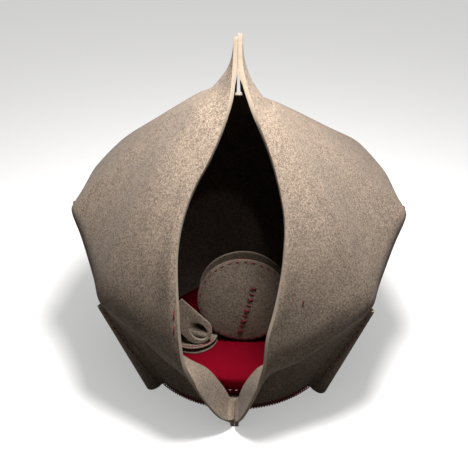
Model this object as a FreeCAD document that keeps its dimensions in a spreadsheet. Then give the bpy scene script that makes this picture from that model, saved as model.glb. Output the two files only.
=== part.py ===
import FreeCAD, Part
import math
import os

import Sketcher
from FreeCAD import Placement, Rotation, Vector

# Pod chair: a freestanding felt cocoon of two half shells, whip-stitched round a base disc,
# with darts that stand out as feet, a seat pad, two felt cushions and a hand loop.
# Front is -Y, up is +Z, and the origin is on the floor at the centre of the base disc.

doc = FreeCAD.newDocument("pod_chair")
sheet = doc.addObject("Spreadsheet::Sheet", "sizes")

# Driving sizes in millimetres and degrees, each with its meaning
SIZES = [
    ("felt_thickness", 11, "thickness of the shell and base felt"),
    ("base_radius", 320, "outer radius of the sewn bottom edge"),
    ("dart_azimuth", 52, "angle of the front lower darts from the front"),
    ("rear_dart_azimuth", 128, "angle of the rear lower darts from the front"),
    ("seam_gap", 3, "gap between the two half shells at the front and top"),
    ("toe_setback", 405, "front toes, distance before the centre"),
    ("toe_height", 22, "height of the blunt toe"),
    ("front_dart_x", 420, "front lower dart top, sideways"),
    ("front_dart_y", -300, "front lower dart top, depth"),
    ("front_dart_z", 413, "front lower dart top, height"),
    ("side_corner_x", 554, "side corner, sideways"),
    ("side_corner_y", 0, "side corner, depth"),
    ("side_corner_z", 562, "side corner, height"),
    ("rear_dart_x", 525, "rear lower dart top, sideways"),
    ("rear_dart_y", 195, "rear lower dart top, depth"),
    ("rear_dart_z", 592, "rear lower dart top, height"),
    ("rear_corner_x", 436, "rear corner, sideways"),
    ("rear_corner_y", 385, "rear corner, depth"),
    ("rear_corner_z", 636, "rear corner, height"),
    ("back_belt_y", 500, "belt at the back seam, depth"),
    ("back_belt_z", 640, "belt at the back seam, height"),
    ("left_shoulder_x", 144, "top end of the left front upper dart, sideways"),
    ("right_shoulder_x", 104, "top end of the right front upper dart, sideways"),
    ("shoulder_y", 20, "top end of the front upper darts, depth"),
    ("shoulder_z", 941, "top end of the front upper darts, height"),
    ("left_rear_shoulder_x", 106, "top end of the left rear upper dart, sideways"),
    ("right_rear_shoulder_x", 118, "top end of the right rear upper dart, sideways"),
    ("rear_shoulder_y", 70, "top end of the rear upper darts, depth"),
    ("left_rear_shoulder_z", 950, "top end of the left rear upper dart, height"),
    ("right_rear_shoulder_z", 902, "top end of the right rear upper dart, height"),
    ("ridge_y", 100, "back end of the open top, depth"),
    ("ridge_z", 932, "back end of the open top, height"),
    ("tip_y", -70, "top tips, depth"),
    ("left_tip_z", 1155, "left top tip, height"),
    ("right_tip_z", 1165, "right top tip, height"),
    ("disc_radius", 307.5, "radius of the base disc"),
    ("pad_radius", 297, "radius of the seat pad"),
    ("pad_height", 92, "thickness of the seat pad"),
    ("pad_edge", 16, "rounding of the seat pad edges"),
    ("cushion_radius", 154, "radius of the back cushion"),
    ("cushion_core", 52, "thickness of the back cushion core at its edge"),
    ("cushion_felt", 6, "thickness of the cushion felts"),
    ("cushion_crown", 16, "swelling of the back cushion on each face"),
    ("cushion_lean", 8, "lean of the back cushion"),
    ("mat_radius", 84, "radius of the small side cushion"),
    ("mat_core", 14, "thickness of the side cushion core"),
    ("loop_half_width", 46, "half width of the hand loop"),
    ("loop_reach", 120, "length of the hand loop from its hole to its straight end"),
    ("hole_length", 36, "half length of the hole in the hand loop"),
    ("hole_width", 25, "half width of the hole in the hand loop"),
    ("foot_depth", 60, "how far a foot stands out at the floor"),
    ("foot_half_width", 18, "half width of a foot at the floor"),
    ("foot_top", 13, "depth and half width of a foot at its top"),
    ("thread_radius", 1.5, "radius of the yarn"),
    ("clearance", 0.3, "gap round the loose cushions and the pad"),
]
for row, (name, value, meaning) in enumerate(SIZES, start=1):
    sheet.set(f"A{row}", meaning)
    sheet.set(f"B{row}", str(value))
    sheet.setAlias(f"B{row}", name)
doc.recompute()


def size(name):
    return float(sheet.get(name))


THICK = size("felt_thickness")
BASE_R = size("base_radius")
HALF_GAP = size("seam_gap") / 2
TIP_X = HALF_GAP + THICK
BACK_GAP = 0.15
CLEAR = size("clearance")
SIDES = {"left": -1, "right": 1}

# Slit edge, from the fold at its foot to the tip: height, setback before the centre,
# and half width on the left and on the right, because the two flaps hang differently
FOLD = (227, 465, 122, 80)
SLIT = [
    (286, 475, 144, 91),
    (346, 475, 151, 95),
    (404, 465, 158, 98),
    (519, 430, 161, 125),
    (600, 395, 165, 134),
    (694, 340, 153, 140),
    (779, 285, 124, 126),
    (830, 250, 92, 111),
    (890, 210, 60, 88),
    (956, 165, 32, 57),
    (1010, 130, 21, 36),
    (1070, 100, 15, 17),
]
# Free rim of the toe, from the toe to the fold
RIM = [(66, 430, 47, 28), (128, 445, 80, 50)]
# Fold line from the end of the slit to the front dart
CREASE = [(266, 455, 158, 108), (283, 430, 200, 172), (326, 400, 257, 255), (379, 360, 337, 341)]
# The front flaps bend outwards, and this plane divides each from the fixed shell
CUT_NORMAL = (-0.35, -0.9, 0.25)
CUT_OFFSET = 320

# Running gap between a stitch and the felt that it lies on
YARN_GAP = 0.3

solids = {}
panels = {}


def edge_point(side, row):
    height, setback, left, right = row
    half = left if side < 0 else right
    return Vector(side * half, -setback, height)


def spline_points(points, count):
    curve = Part.BSplineCurve()
    curve.interpolate(points)
    return curve.toShape().discretize(count + 1)


def line(a, b, count):
    return [a + (b - a) * (k / count) for k in range(count + 1)]


def floor_point(azimuth, radius, height, side):
    a = math.radians(azimuth)
    return Vector(side * radius * math.sin(a), -radius * math.cos(a), height)


def arc_points(a0, a1, count, side):
    return [floor_point(a0 + (a1 - a0) * k / count, BASE_R, 0, side) for k in range(count + 1)]


def even_marks(count):
    return [k / count for k in range(count + 1)]


def coons(bottom, top, left, right, marks=None):
    # A patch between four edges; marks say how far up each row lies, evenly when left out
    n = len(bottom) - 1
    grid = []
    for j, v in enumerate(marks or even_marks(len(left) - 1)):
        row = []
        for i in range(n + 1):
            u = i / n
            p = bottom[i] * (1 - v) + top[i] * v + left[j] * (1 - u) + right[j] * u
            p = p - bottom[0] * ((1 - u) * (1 - v)) - bottom[n] * (u * (1 - v))
            p = p - top[0] * ((1 - u) * v) - top[n] * (u * v)
            row.append(p)
        grid.append(row)
    return grid


def grid_normals(grid, side):
    m, n = len(grid), len(grid[0])
    out = []
    for j in range(m):
        row = []
        for i in range(n):
            du = grid[j][min(i + 1, n - 1)] - grid[j][max(i - 1, 0)]
            dv = grid[min(j + 1, m - 1)][i] - grid[max(j - 1, 0)][i]
            normal = du.cross(dv) * side
            normal.normalize()
            row.append(normal)
        out.append(row)
    return out


def swell(grid, side, height, marks=None):
    # Push the middle of a patch outwards, and leave its edges where they are
    normals = grid_normals(grid, side)
    m, n = len(grid) - 1, len(grid[0]) - 1
    marks = marks or even_marks(m)
    for j in range(1, m):
        for i in range(1, n):
            u, v = i / n, marks[j]
            grid[j][i] = grid[j][i] + normals[j][i] * (height * 16 * u * (1 - u) * v * (1 - v))
    return grid


# Smooth surfaces through grids of points, with edges that depend only on the edge points,
# so that neighbouring panels meet face to face
beyond = {}


def key(p):
    return (round(p.x, 2), round(p.y, 2), round(p.z, 2))


def remember(chain):
    for a, b, c in zip(chain, chain[1:], chain[2:]):
        beyond[(key(b), key(c))] = a
        beyond[(key(b), key(a))] = c


def curve_poles(points):
    last = len(points) - 1
    poles = [points[0]]
    for i, here in enumerate(points):
        before = points[i - 1] if i else beyond.get((key(here), key(points[1])))
        after = points[i + 1] if i < last else beyond.get((key(here), key(points[-2])))
        back = here - before if before else after - here
        ahead = after - here if after else here - before
        tangent = back + ahead
        reach = min(back.Length, ahead.Length)
        if tangent.Length > 1e-6:
            tangent = tangent * (reach / tangent.Length)
        if i:
            poles.append(here - tangent / 3)
        if i < last:
            poles.append(here + tangent / 3)
    poles.append(points[-1])
    return poles


def between(points, i, count):
    poles = curve_poles(points)
    a, b, c, d = points[i], poles[2 * i + 1], poles[2 * i + 2], points[i + 1]
    out = []
    for k in range(count + 1):
        t = k / count
        s = 1 - t
        out.append(a * (s**3) + b * (3 * s * s * t) + c * (3 * s * t * t) + d * (t**3))
    return out


def surface_poles(grid):
    rows = [curve_poles(row) for row in grid]
    columns = [curve_poles([row[i] for row in rows]) for i in range(len(rows[0]))]
    return [[column[j] for column in columns] for j in range(len(columns[0]))]


def spline_knots(pole_count):
    spans = pole_count // 2 - 1
    return [4] + [2] * (spans - 1) + [4], [float(k) for k in range(spans + 1)]


def spline_surface(poles):
    surface = Part.BSplineSurface()
    u_mults, u_knots = spline_knots(len(poles))
    v_mults, v_knots = spline_knots(len(poles[0]))
    surface.buildFromPolesMultsKnots(poles, u_mults, v_mults, u_knots, v_knots, False, False, 3, 3)
    return surface


def ruled_surface(a, b):
    surface = Part.BSplineSurface()
    mults, knots = spline_knots(len(a))
    surface.buildFromPolesMultsKnots([a, b], [2, 2], mults, [0.0, 1.0], knots, False, False, 1, 3)
    return surface


def panel_solid(outer, inner):
    a, b = surface_poles(outer), surface_poles(inner)
    faces = [spline_surface(a).toShape(), spline_surface(b).toShape()]
    for j in (0, -1):
        faces.append(ruled_surface(a[j], b[j]).toShape())
        faces.append(ruled_surface([row[j] for row in a], [row[j] for row in b]).toShape())
    shell = Part.Shell(faces)
    shell.sewShape()
    solid = Part.Solid(shell)
    if solid.Volume < 0:
        solid.reverse()
    return solid, spline_surface(a)


# Divisions along the belt and up the panels, shared by the panels that meet there
N_RIM, N_CREASE, N_SIDE, N_REAR, N_DART, N_BACK = 4, 8, 5, 3, 4, 4
N_TOE, N_LOW, N_SEAM = 3, 6, 9
N_NECK = N_BACK
N_UP = N_SEAM + 1 + N_NECK
# The rows above the rear shoulder are half as high as the others
N_WIDE = N_SEAM + 1
UP_MARKS = [k / (N_WIDE + N_NECK / 2) for k in
            list(range(N_WIDE)) + [N_WIDE + j / 2 for j in range(N_NECK + 1)]]
NECK_ROLL = {-1: 17, 1: 4}
# How far the front wall tucks in under the rim, from which rim height on, and how far outside
# the sewn bottom edge it stays
TUCK = 82
TUCK_HEIGHT = 260
TUCK_ROOM = 2
SHELL_SWELL = {-1: {"front": 14, "side": 8, "back": 12}, 1: {"front": 14, "side": 8, "back": 4}}


def half_shell(side):
    hand = "left" if side < 0 else "right"

    def at(name, x_name=None, z_name=None):
        x = size(x_name or name + "_x")
        return Vector(side * x, size(name + "_y"), size(z_name or name + "_z"))

    toe = Vector(side * TIP_X, -size("toe_setback"), size("toe_height"))
    toe_floor = Vector(toe.x, toe.y + 6, 0)
    fold = edge_point(side, FOLD)
    dart, corner = at("front_dart"), at("side_corner")
    rear_dart, rear_corner = at("rear_dart"), at("rear_corner")
    belt_back = Vector(side * BACK_GAP, size("back_belt_y"), size("back_belt_z"))
    shoulder = at("shoulder", hand + "_shoulder_x")
    rear_shoulder = at("rear_shoulder", hand + "_rear_shoulder_x", hand + "_rear_shoulder_z")
    ridge = Vector(side * TIP_X, size("ridge_y"), size("ridge_z"))
    tip = Vector(side * TIP_X, size("tip_y"), size(hand + "_tip_z"))

    rim = spline_points([toe] + [edge_point(side, r) for r in RIM] + [fold], N_RIM)
    crease = spline_points([fold] + [edge_point(side, r) for r in CREASE] + [dart], N_CREASE)
    belt_side = spline_points([dart, Vector(side * 482, -150, 484), corner], N_SIDE)
    belt_rear = line(corner, rear_dart, N_REAR)
    belt_dart = spline_points([rear_dart, Vector(side * 483, 293, 615), rear_corner], N_DART)
    belt_last = spline_points([rear_corner, Vector(side * 240, 472, 650), belt_back], N_BACK)
    half_rows = spline_points([fold] + [edge_point(side, r) for r in SLIT] + [tip],
                              2 * N_WIDE + N_NECK)
    front = half_rows[:2 * N_WIDE:2] + half_rows[2 * N_WIDE:]
    seam = line(corner, shoulder, N_SEAM)
    neck_mid = (rear_shoulder + ridge) / 2 + Vector(0, -2, 6)
    neck = spline_points([rear_shoulder, neck_mid, ridge], N_NECK)
    top = spline_points([tip, Vector(side * (TIP_X + 2), 5, 1040), ridge], N_CREASE + N_SIDE)
    rear_seam = line(rear_corner, rear_shoulder, N_SEAM)
    back_seam = spline_points([belt_back, Vector(side * 2, 330, 815), Vector(side * 7, 190, 893),
                               ridge], N_SEAM)
    belt = rim + crease[1:] + belt_side[1:] + belt_rear[1:] + belt_dart[1:] + belt_last[1:]
    chains = [belt, seam + neck]
    for chain in chains:
        remember(chain)
    crest = between(seam + neck, N_SEAM, N_REAR + N_DART)

    patches = {}
    patches["front"] = coons(crease + belt_side[1:], top, front, seam + neck, UP_MARKS)
    patches["side"] = coons(belt_rear + belt_dart[1:], crest, seam, rear_seam)
    patches["back"] = coons(belt_last, neck, rear_seam, back_seam)
    for name, height in SHELL_SWELL[side].items():
        swell(patches[name], side, height, UP_MARKS if name == "front" else None)
    # The felt rolls over below the open top before it meets the shoulder
    rows = patches["front"]
    for j in range(N_SEAM, N_UP):
        for i in range(1, len(rows[j]) - 1):
            roll = NECK_ROLL[side] * math.sin(math.pi * i / (len(rows[j]) - 1))
            roll *= min(1, (N_UP - j) / 2)
            rows[j][i] = rows[j][i] + Vector(side * 0.6, 0, 0.8) * roll

    base_front = Vector(side * TIP_X, -math.sqrt(BASE_R**2 - TIP_X**2), 0)
    a0 = math.degrees(math.asin(TIP_X / BASE_R))
    a1, a2 = size("dart_azimuth"), size("rear_dart_azimuth")
    a3 = 180 - math.degrees(math.asin(BACK_GAP / BASE_R))
    front_arc = arc_points(a0, a1, N_RIM + N_CREASE - N_TOE, side)
    side_arc = arc_points(a1, a2, N_SIDE + N_REAR, side)
    back_arc = arc_points(a2, a3, N_DART + N_BACK, side)
    dart_line = line(front_arc[-1], dart, N_LOW)
    rear_dart_line = line(side_arc[-1], rear_dart, N_LOW)
    low_seam = spline_points([back_arc[-1], Vector(back_arc[-1].x, 425, 300), belt_back], N_LOW)
    low = coons(line(toe_floor, base_front, N_TOE) + front_arc[1:], rim + crease[1:],
                line(toe_floor, toe, N_LOW), dart_line)
    # The front wall stands up beside the pad and then turns out to the rim
    m, n = len(low) - 1, len(low[0]) - 1
    for j in range(1, m):
        for i in range(1, n):
            u, v = i / n, j / m
            p = low[j][i]
            r = math.hypot(p.x, p.y)
            pull = TUCK * min(1, low[m][i].z / TUCK_HEIGHT) * (1 - u**3) * math.sin(math.pi * v)
            pull = min(pull, r - BASE_R - TUCK_ROOM)
            low[j][i] = p + Vector(-p.x / r, -p.y / r, 0.2) * pull
    patches["low_front"] = low
    patches["low_side"] = swell(coons(side_arc, belt_side + belt_rear[1:], dart_line,
                                      rear_dart_line), side, 6)
    patches["low_back"] = swell(coons(back_arc, belt_dart + belt_last[1:], rear_dart_line,
                                      low_seam), side, 10)
    return patches, chains


def inner_grids(patches, chains, side):
    # Points shared by panels move inwards by one mitre for all of them
    meeting = {}
    normals = {name: grid_normals(grid, side) for name, grid in patches.items()}
    for name, grid in patches.items():
        for row, normal_row in zip(grid, normals[name]):
            for p, normal in zip(row, normal_row):
                meeting.setdefault(key(p), []).append(normal)
    moved = {}

    def inward(p, least):
        group = meeting[key(p)]
        mean = Vector(0, 0, 0)
        for normal in group:
            mean = mean + normal
        mean.normalize()
        share = sum(mean.dot(normal) for normal in group) / len(group)
        q = p - mean * (THICK / max(share, 0.6))
        if p.z < 0.01:
            q.z = 0
        if side * q.x < least:
            q.x = side * least
        moved[key(p)] = q
        return q

    inner = {}
    for name, grid in patches.items():
        least = HALF_GAP if name == "low_front" else BACK_GAP
        inner[name] = [[inward(p, least) for p in row] for row in grid]
    for chain in chains:
        remember([moved[key(p)] for p in chain])
    crest = [moved[key(p)] for p in chains[1]]
    inner["side"][-1] = between(crest, N_SEAM, N_REAR + N_DART)
    return inner


def add_shape(label, shape):
    item = doc.addObject("Part::Feature", label)
    item.Label = label
    item.Shape = shape
    item.Placement = Placement(Vector(0, 0, 0), Rotation())
    solids[label] = item
    return item


def cut_slab(side):
    normal = Vector(side * CUT_NORMAL[0], CUT_NORMAL[1], CUT_NORMAL[2])
    offset = CUT_OFFSET / normal.Length
    normal.normalize()
    slab = Part.makeBox(3000, 3000, 3000, Vector(-1500, -1500, 0))
    return slab.transformed(Placement(normal * offset, Rotation(Vector(0, 0, 1), normal)).Matrix)


def new_body(label, placement=None):
    body = doc.addObject("PartDesign::Body", label)
    body.Label = label
    body.Placement = placement or Placement(Vector(0, 0, 0), Rotation())
    solids[label] = body
    return body


def new_sketch(body, role):
    sketch = body.newObject("Sketcher::SketchObject", body.Label + "_outline")
    plane = next(o for o in body.Origin.OriginFeatures if o.Role == role)
    sketch.AttachmentSupport = (plane, [""])
    sketch.MapMode = "FlatFace"
    return sketch


def constrain(sketch, *args, bound=None):
    index = sketch.addConstraint(Sketcher.Constraint(*args))
    if bound:
        sketch.setExpression(f"Constraints[{index}]", bound)


def round_plate(label, radius, height, placement, rounding=None):
    # A round plate, with both edges rounded when a rounding is named
    body = new_body(label, placement)
    sketch = new_sketch(body, "XY_Plane")
    sketch.addGeometry(Part.Circle(Vector(0, 0, 0), Vector(0, 0, 1), 100))
    constrain(sketch, "Coincident", 0, 3, -1, 1)
    constrain(sketch, "Radius", 0, 100, bound=radius)
    pad = body.newObject("PartDesign::Pad", label + "_plate")
    pad.Profile = sketch
    pad.setExpression("Length", height)
    sketch.Visibility = False
    doc.recompute()
    if rounding:
        edges = [f"Edge{k + 1}" for k, edge in enumerate(pad.Shape.Edges) if edge.Closed
                 and edge.Curve.TypeId == "Part::GeomCircle"]
        fillet = body.newObject("PartDesign::Fillet", label + "_rounding")
        fillet.Base = (pad, edges)
        fillet.setExpression("Radius", rounding)
    return body


def crowned_plate(label, levels, placement):
    # A round layer between two crowned faces; levels are the heights of the upper face at the
    # centre and at the edge, then of the lower face at the edge and at the centre
    body = new_body(label, placement)
    sketch = new_sketch(body, "XZ_Plane")
    r = size("cushion_radius")
    top, rim_top, rim_low, low = levels
    corners = [Vector(0, top, 0), Vector(r, rim_top, 0), Vector(r, rim_low, 0), Vector(0, low, 0)]

    def bow(a, b):
        # Middle point of a circular arc whose centre is on the axis
        rise = a.y - b.y
        big = (r * r + rise * rise) / (2 * rise)
        x = r / 2
        return Vector(x, a.y - big + math.copysign(math.sqrt(big * big - x * x), big), 0)

    a, b, c, d = corners
    sketch.addGeometry(Part.Arc(a, bow(a, b), b))
    sketch.addGeometry(Part.LineSegment(b, c))
    sketch.addGeometry(Part.Arc(c, bow(d, c), d))
    sketch.addGeometry(Part.LineSegment(d, a))
    for end in (1, 2):
        constrain(sketch, "DistanceX", -1, 1, 1, end, r, bound="sizes.cushion_radius")
    turn = body.newObject("PartDesign::Revolution", label + "_turned")
    turn.Profile = sketch
    turn.ReferenceAxis = (sketch, ["V_Axis"])
    turn.Angle = 360
    sketch.Visibility = False
    return body


def stitch(a, b, radius):
    rod = Part.makeCylinder(radius, (b - a).Length, a, b - a)
    return rod


def outward(surface, p, centre):
    u, v = surface.parameter(p)
    on = surface.value(u, v)
    normal = surface.normal(u, v)
    if normal.dot(on - centre) < 0:
        normal = normal * -1
    return on, normal


def surface_stitch(ends, centre):
    # Yarn lying on a surface between two nearby points, each given with its surface, and raised
    # where the surface bulges between them
    radius = size("thread_radius")
    seats = [outward(surface, p, centre) for surface, p in ends]
    chord = (seats[0][0] + seats[1][0]) * 0.5
    middle, up = outward(ends[0][0], chord, centre)
    bulge = up * max(0, (middle - chord).dot(up))
    placed = [on + normal * (radius + YARN_GAP) + bulge for on, normal in seats]
    return stitch(placed[0], placed[1], radius)


os.makedirs("parts", exist_ok=True)
PLAIN_NAMES = {"side": "side_panel", "back": "back_panel", "low_front": "lower_front_wall",
               "low_side": "lower_side_wall", "low_back": "lower_back_wall"}
for hand, side in SIDES.items():
    patches, chains = half_shell(side)
    inner = inner_grids(patches, chains, side)
    slab = cut_slab(side)
    for name, grid in patches.items():
        solid, surface = panel_solid(grid, inner[name])
        panels[(hand, name)] = (solid, surface)
        if name in PLAIN_NAMES:
            add_shape(f"{hand}_{PLAIN_NAMES[name]}", solid)
        else:
            add_shape(f"{hand}_flap", solid.common(slab).Solids[0])
            add_shape(f"{hand}_front_panel", solid.cut(slab).Solids[0])

# Feet: each lower dart folds outwards into a hollow fin that reaches the floor
FOOT_SPAN = 0.93
NOSE_STEPS = 6


def fold_path(depth, half, root, nose):
    # Outline of the fold in plan: out along one side, round the nose and back
    straight = depth - half
    path = [(root, -nose), (root + (straight - root) / 2, -nose)]
    for k in range(NOSE_STEPS + 1):
        a = math.pi * k / NOSE_STEPS - math.pi / 2
        path.append((straight + nose * math.cos(a), nose * math.sin(a)))
    path += [(root + (straight - root) / 2, nose), (root, nose)]
    return path


def foot_frame(side, azimuth):
    out = floor_point(azimuth, 1, 0, side)
    return out, Vector(-out.y, out.x, 0)


def foot_solid(side, azimuth, top):
    base = floor_point(azimuth, BASE_R, 0, side)
    out, across = foot_frame(side, azimuth)
    end = size("foot_top")
    outer, inner = [], []
    for j in range(N_LOW + 1):
        v = FOOT_SPAN * j / N_LOW
        s = 1 - j / N_LOW
        centre = base + (top - base) * v
        depth = end + (size("foot_depth") - end) * s
        half = end + (size("foot_half_width") - end) * s
        for rows, nose in ((outer, half), (inner, half - THICK)):
            rows.append([centre + out * x + across * y for x, y in fold_path(depth, half, -9, nose)])
    return panel_solid(outer, inner)[0]


DARTS = {
    "front": ("dart_azimuth", "front_dart", ("low_front", "low_side")),
    "rear": ("rear_dart_azimuth", "rear_dart", ("low_side", "low_back")),
}
DART_STITCHES = 13
DART_STITCH_OUT = 9
DART_YARN_GAP = 0.45
for hand, side in SIDES.items():
    for end, (azimuth_name, dart_name, walls) in DARTS.items():
        azimuth = size(azimuth_name)
        top = Vector(side * size(dart_name + "_x"), size(dart_name + "_y"), size(dart_name + "_z"))
        foot = foot_solid(side, azimuth, top)
        for wall in walls:
            foot = foot.cut(panels[(hand, wall)][0])
        # Only the fold outside the wall is kept
        out, across = foot_frame(side, azimuth)
        foot = max(foot.Solids, key=lambda part: part.Volume)
        add_shape(f"{hand}_{end}_foot", foot)
        base = floor_point(azimuth, BASE_R, 0, side)
        yarn = []
        radius = size("thread_radius")
        for face in (-1, 1):
            for k in range(DART_STITCHES):
                ends = []
                for shift in (-0.016, 0.016):
                    v = (k + 0.5) / DART_STITCHES * 0.9 + shift
                    s = 1 - v / FOOT_SPAN
                    half = size("foot_top") + (size("foot_half_width") - size("foot_top")) * s
                    depth = size("foot_top") + (size("foot_depth") - size("foot_top")) * s
                    past = max(0, DART_STITCH_OUT - (depth - half))
                    width = math.sqrt((half + radius + DART_YARN_GAP)**2 - past**2)
                    centre = base + (top - base) * v
                    ends.append(centre + out * DART_STITCH_OUT + across * (face * width))
                yarn.append(stitch(ends[0], ends[1], radius))
        add_shape(f"{hand}_{end}_dart_stitches", Part.makeCompound(yarn))

# Whip stitches round the bottom edge, left open where the feet stand and between the toes
WHIP_PITCH = 9
WHIP_HEIGHT = 12
FOOT_HALF_ANGLE = 4.4
CENTRE = Vector(0, 0, 300)
step = math.degrees(WHIP_PITCH / BASE_R)
for hand, side in SIDES.items():
    yarn = []
    azimuth = 4.0
    while azimuth < 178.5:
        feet = (size("dart_azimuth"), size("rear_dart_azimuth"))
        if all(abs(azimuth + step / 4 - foot) > FOOT_HALF_ANGLE for foot in feet):
            wall = "low_front" if azimuth < feet[0] else "low_side" if azimuth < feet[1] else "low_back"
            surface = panels[(hand, wall)][1]
            low = floor_point(azimuth, BASE_R, 2.2, side)
            high = floor_point(azimuth + step / 2, BASE_R, WHIP_HEIGHT, side)
            yarn.append(surface_stitch([(surface, low), (surface, high)], Vector(0, 0, 0)))
        azimuth += step
    add_shape(f"{hand}_base_stitches", Part.makeCompound(yarn))

# Stitches across the back seam, then the single stitches on the flaps and side corners
yarn = []
for k in range(14):
    z = 60 + 40 * k
    ends = [(panels[(hand, "low_back")][1], Vector(side * 6, 440, z)) for hand, side in SIDES.items()]
    yarn.append(surface_stitch(ends, Vector(0, 0, z)))
add_shape("back_seam_stitches", Part.makeCompound(yarn))
FLAP_STITCHES = {
    "left": [((-169, -440, 491), (-169, -449, 463)), ((-169, -453, 448), (-170, -461, 418))],
    "right": [((194, -401, 507), (194, -405, 492))],
}
CORNER_STITCH = ((545, 14, 574), (539, 24, 580))
for hand, side in SIDES.items():
    surface = panels[(hand, "front")][1]
    yarn = [surface_stitch([(surface, Vector(*p)) for p in pair], Vector(0, 0, 450))
            for pair in FLAP_STITCHES[hand]]
    add_shape(f"{hand}_flap_stitches", Part.makeCompound(yarn))
    surface = panels[(hand, "side")][1]
    ends = [(surface, Vector(side * x, y, z)) for x, y, z in CORNER_STITCH]
    add_shape(f"{hand}_corner_stitch", surface_stitch(ends, CENTRE))

# Base disc and seat pad
FLAT = Rotation()
round_plate("base_disc", "sizes.disc_radius", "sizes.felt_thickness", Placement(Vector(0, 0, 0), FLAT))
pad_low = THICK + CLEAR
round_plate("seat_pad", "sizes.pad_radius", "sizes.pad_height",
            Placement(Vector(0, 0, pad_low), FLAT), "sizes.pad_edge")
pad_top = pad_low + size("pad_height")
yarn = []
for x in (-21, 3):
    y = -math.sqrt((size("pad_radius") + size("thread_radius") + YARN_GAP)**2 - x * x)
    yarn.append(stitch(Vector(x - 5, y, 40), Vector(x + 5, y, 42), size("thread_radius")))
add_shape("seat_pad_stitches", Part.makeCompound(yarn))

# Back cushion: two crowned felts over a core, standing on its rim and leaning back
core_half = size("cushion_core") / 2
felt = size("cushion_felt")
crown = size("cushion_crown")
lean = size("cushion_lean")
gap = 0.2
turned = Rotation(Vector(1, 0, 0), 90 - lean)
drop = size("cushion_radius") * math.cos(math.radians(lean))
drop += (core_half + gap + felt) * math.sin(math.radians(lean))
cushion_at = Placement(Vector(20, -54, pad_top + CLEAR + drop), turned)
f0 = core_half + gap
crowned_plate("back_cushion_core", [core_half + crown, core_half, -core_half,
                                    -core_half - crown], cushion_at)
crowned_plate("back_cushion_front_felt", [f0 + crown + felt, f0 + felt, f0, f0 + crown], cushion_at)
crowned_plate("back_cushion_rear_felt", [-f0 - crown, -f0, -f0 - felt, -f0 - felt - crown],
              cushion_at)


def crown_height(x, y):
    big = (size("cushion_radius")**2 + crown**2) / (2 * crown)
    return f0 + felt + crown - big + math.sqrt(big * big - x * x - y * y)


def cushion_stitch(a, b, raised=0.0):
    radius = size("thread_radius")
    ends = [Vector(x, y, crown_height(x, y) + radius + 0.25 + raised) for x, y in (a, b)]
    rod = stitch(ends[0], ends[1], radius)
    return rod.transformed(cushion_at.Matrix)


ring = size("cushion_radius") - 9
yarn = []
RING_STITCHES = 34
for k in range(RING_STITCHES):
    a = 2 * math.pi * k / RING_STITCHES
    b = a + 0.085
    yarn.append(cushion_stitch((ring * math.cos(a), ring * math.sin(a)),
                               (ring * math.cos(b), ring * math.sin(b))))
add_shape("back_cushion_edge_stitches", Part.makeCompound(yarn))
yarn = []
SEAM_START, SEAM_END = Vector(-8, -112, 0), Vector(34, 52, 0)
along = (SEAM_END - SEAM_START) * (1 / 5)
across = Vector(-along.y, along.x, 0)
across.normalize()
unit = Vector(along.x, along.y, 0)
unit.normalize()
for k in range(6):
    middle = SEAM_START + along * k
    if k % 2:
        a, b = middle - across * 9, middle + across * 9
        yarn.append(cushion_stitch((a.x, a.y), (b.x, b.y)))
    else:
        for raised, lean_way in ((0, 1), (2 * size("thread_radius") + 0.1, -1)):
            a = middle - across * 9 - unit * (7 * lean_way)
            b = middle + across * 9 + unit * (7 * lean_way)
            yarn.append(cushion_stitch((a.x, a.y), (b.x, b.y), raised))
add_shape("back_cushion_cross_stitches", Part.makeCompound(yarn))

# Side cushion: a thin core between two felts, flat on the pad, with a felt hand loop on it
mat_x, mat_y = -150, -90
mat_low = pad_top + CLEAR
levels = [("side_cushion_bottom_felt", "sizes.cushion_felt", felt),
          ("side_cushion_core", "sizes.mat_core", size("mat_core")),
          ("side_cushion_top_felt", "sizes.cushion_felt", felt)]
z = mat_low
for label, bound, height in levels:
    round_plate(label, "sizes.mat_radius", bound, Placement(Vector(mat_x, mat_y, z), FLAT))
    z += height + gap
mat_top = z - gap
yarn = []
MAT_STITCHES = 18
ring = size("mat_radius") - 6
radius = size("thread_radius")
for k in range(MAT_STITCHES):
    a = math.radians(200 + 135 * k / MAT_STITCHES)
    ends = [Vector(mat_x + ring * math.cos(t), mat_y + ring * math.sin(t), mat_top + radius + 0.1)
            for t in (a, a + 0.07)]
    yarn.append(stitch(ends[0], ends[1], radius))
add_shape("side_cushion_stitches", Part.makeCompound(yarn))

half_w = size("loop_half_width")
facing = Vector(0.1, -0.96, 0.26)
facing.normalize()
rising = Vector(-0.7, 0.05, 0.71)
rising = rising - facing * rising.dot(facing)
rising.normalize()
upright = facing.cross(rising)
loop_z = mat_top + CLEAR + half_w * math.sqrt(1 - facing.z**2) + THICK / 2 * facing.z
loop_turn = Rotation(rising, upright, facing, "ZXY")
loop_body = new_body("hand_loop", Placement(Vector(-129, -140, loop_z) - facing * (THICK / 2), loop_turn))
sketch = new_sketch(loop_body, "XY_Plane")
reach = size("loop_reach")
hole_l, hole_w = size("hole_length") - size("hole_width"), size("hole_width")
z_up = Vector(0, 0, 1)
sketch.addGeometry(Part.ArcOfCircle(Part.Circle(Vector(0, 0, 0), z_up, half_w), math.pi / 2,
                                    3 * math.pi / 2))
sketch.addGeometry(Part.LineSegment(Vector(0, -half_w, 0), Vector(reach, -half_w, 0)))
sketch.addGeometry(Part.LineSegment(Vector(reach, -half_w, 0), Vector(reach, half_w, 0)))
sketch.addGeometry(Part.LineSegment(Vector(reach, half_w, 0), Vector(0, half_w, 0)))
sketch.addGeometry(Part.ArcOfCircle(Part.Circle(Vector(-hole_l, 0, 0), z_up, hole_w), math.pi / 2,
                                    3 * math.pi / 2))
sketch.addGeometry(Part.LineSegment(Vector(-hole_l, -hole_w, 0), Vector(hole_l, -hole_w, 0)))
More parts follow.
